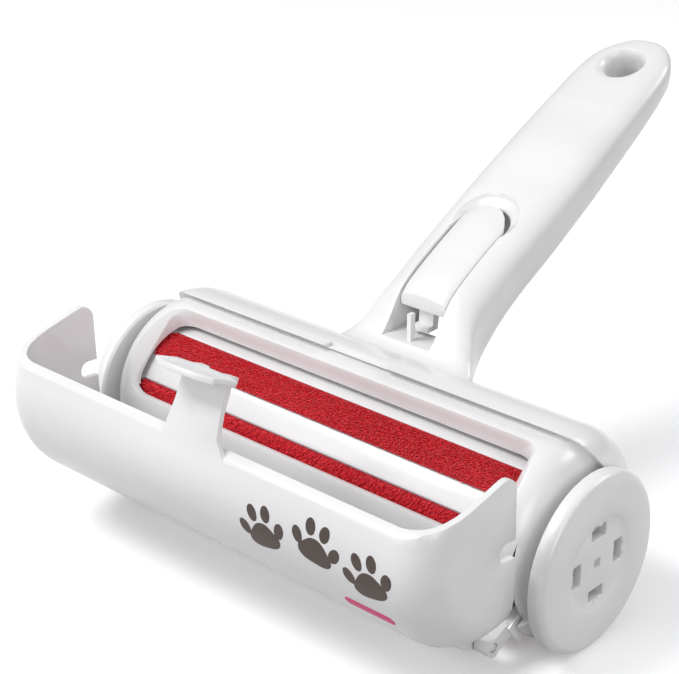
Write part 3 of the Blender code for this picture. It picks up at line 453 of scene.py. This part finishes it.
def printed_mark(name, outlines, mat):
    """A thin layer of ink on the lid's front face.

    The outlines are in metres, across and up from the middle of the print.
    """
    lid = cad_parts["lid"].data
    tree = BVHTree.FromPolygons([v.co for v in lid.vertices], [f.vertices for f in lid.polygons])
    axis_y, axis_z = AXIS_Y + LID_CENTRE_Y, AXIS_Z + LID_CENTRE_Z
    vertices = []
    faces = []

    def place(u, v):
        angle = math.radians(PRINT_ANGLE_DEG) - v / LID_RADIUS
        out = Vector((0.0, math.cos(angle), math.sin(angle)))
        middle = Vector((PRINT_X + u, axis_y, axis_z))
        hit, _, _, _ = tree.ray_cast(middle + out * 2.0 * LID_RADIUS, -out)
        return hit + out * INK_LIFT

    for outline in outlines:
        mu = sum(p[0] for p in outline) / len(outline)
        mv = sum(p[1] for p in outline) / len(outline)
        first = len(vertices)
        vertices.append(place(mu, mv))
        count = len(outline)
        for share in INK_RINGS:
            for u, v in outline:
                vertices.append(place(mu + (u - mu) * share, mv + (v - mv) * share))
        for i in range(count):
            n = (i + 1) % count
            faces.append((first, first + 1 + i, first + 1 + n))
            for ring in range(len(INK_RINGS) - 1):
                a = first + 1 + ring * count
                faces.append((a + i, a + count + i, a + count + n, a + n))
    mark = mesh_object(name, vertices, faces, mat)
    skin = mark.modifiers.new("ink_body", "SOLIDIFY")
    skin.thickness = INK_THICKNESS
    skin.offset = 0.0
    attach(mark, "cover")
    return mark


def softbox(name, place, aim, size, power):
    """An area light at a place, turned towards another."""
    light = bpy.data.lights.new(name, "AREA")
    light.shape = "RECTANGLE"
    light.size, light.size_y = size
    light.energy = power
    obj = bpy.data.objects.new(name, light)
    bpy.context.scene.collection.objects.link(obj)
    obj.location = place
    obj.rotation_euler = (Vector(aim) - Vector(place)).to_track_quat("-Z", "Y").to_euler()
    return obj


# ---------------------------------------------------------------- scene

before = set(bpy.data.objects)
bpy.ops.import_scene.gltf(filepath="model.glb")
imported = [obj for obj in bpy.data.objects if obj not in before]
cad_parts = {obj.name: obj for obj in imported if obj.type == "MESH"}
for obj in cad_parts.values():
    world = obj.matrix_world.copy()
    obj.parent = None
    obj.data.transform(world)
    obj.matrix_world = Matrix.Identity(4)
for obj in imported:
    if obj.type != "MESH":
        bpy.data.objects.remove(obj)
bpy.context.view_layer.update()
AXIS_Y, AXIS_Z = drum_axis()

for light in [o for o in bpy.data.objects if o.type == "LIGHT"]:
    bpy.data.objects.remove(light)

WHITE = moulded_plastic("glossy_white_plastic", (0.69, 0.685, 0.69), (0.73, 0.725, 0.73),
                        gloss=0.3, coat=0.3, texture=0.25, subsurface=0.05)
GREY = moulded_plastic("polished_grey_plastic", (0.10, 0.10, 0.105), (0.16, 0.16, 0.165),
                       gloss=0.2, coat=0.4, texture=0.2)
STEEL = drawn_steel("drawn_steel")
RUBBER = soft_rubber("black_wiper_rubber")
CLOTH = red_cloth("red_ground_weave")
PILE = red_pile("red_nylon_pile")
FINISHES = {
    "white_plastic": WHITE,
    "dark_grey_plastic": GREY,
    "steel": STEEL,
    "black_rubber": RUBBER,
    "red_fabric": CLOTH,
}

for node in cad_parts.values():
    for place in node.material_slots:
        for key, finish in FINISHES.items():
            if place.material and place.material.name.startswith(key):
                place.material = finish

SMOOTH = smooth_shading_group()

for node_name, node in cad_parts.items():
    if node_name.startswith("lint_strip"):
        continue
    weld = node.modifiers.new("weld", "WELD")
    weld.merge_threshold = WELD_DISTANCE
    rounding = node.modifiers.new("edge_rounding", "BEVEL")
    rounding.width = EDGE_ROUND
    rounding.segments = EDGE_SEGMENTS
    rounding.limit_method = "ANGLE"
    rounding.angle_limit = math.radians(EDGE_ANGLE_DEG)
    rounding.harden_normals = False
    smooth = node.modifiers.new("smooth_shading", "NODES")
    smooth.node_group = SMOOTH

for number, (strip_name, strip_angle) in enumerate(STRIP_ANGLES_DEG.items()):
    pile_strip(strip_name, strip_angle, CLOTH, PILE, PILE_SEED + number)

BROWN = printed_ink("brown_ink", (0.030, 0.015, 0.010), (0.045, 0.024, 0.016))
PINK = printed_ink("pink_ink", (0.60, 0.008, 0.13), (0.70, 0.012, 0.17))
prints = []
for paw_place, paw_turn in PAW_PLACES:
    prints += paw(paw_place, PAW_SIZE, paw_turn)
printed_mark("paw_print", prints, BROWN)
printed_mark("print_bar", [pill(BAR_PLACE, BAR_HALF_LENGTH, BAR_HALF_HEIGHT)], PINK)

# floor, which takes shadows but throws no light back up at the object
bpy.ops.mesh.primitive_plane_add(size=FLOOR_SIZE, location=(0.0, 0.0, 0.0))
floor = bpy.context.active_object
floor.name = "studio_floor"
floor.data.materials.append(floor_material("pale_floor"))
floor.visible_diffuse = False

# lights
world = bpy.data.worlds.new("studio")
world.use_nodes = True
sky = world.node_tree
direction = sky.nodes.new("ShaderNodeTexCoord")
split = sky.nodes.new("ShaderNodeSeparateXYZ")
height = sky.nodes.new("ShaderNodeMapRange")
height.inputs["From Min"].default_value = SKY_FLOOR
height.inputs["From Max"].default_value = SKY_TOP
sky.links.new(direction.outputs["Generated"], split.inputs["Vector"])
sky.links.new(split.outputs["Z"], height.inputs["Value"])
tone = ramp(sky, height.outputs["Result"], (0.46, 0.46, 0.47), (0.97, 0.98, 1.0), 0.0, 1.0)
sky.links.new(tone.outputs["Color"], sky.nodes["Background"].inputs["Color"])
sky.nodes["Background"].inputs["Strength"].default_value = SKY_STRENGTH
bpy.context.scene.world = world

for light_name, light_place, aim_height, light_size, watts in SOFTBOXES:
    softbox(light_name, light_place, (0.0, 0.0, aim_height), light_size, watts)

camera_data = bpy.data.cameras.new("camera")
camera_data.lens = CAMERA_LENS
camera_data.sensor_width = CAMERA_SENSOR
camera_data.clip_start = 0.01
camera = bpy.data.objects.new("camera", camera_data)
camera.location = CAMERA_PLACE
camera.rotation_euler = CAMERA_TURN
bpy.context.scene.collection.objects.link(camera)
bpy.context.scene.camera = camera
bpy.context.scene.view_settings.view_transform = "Standard"
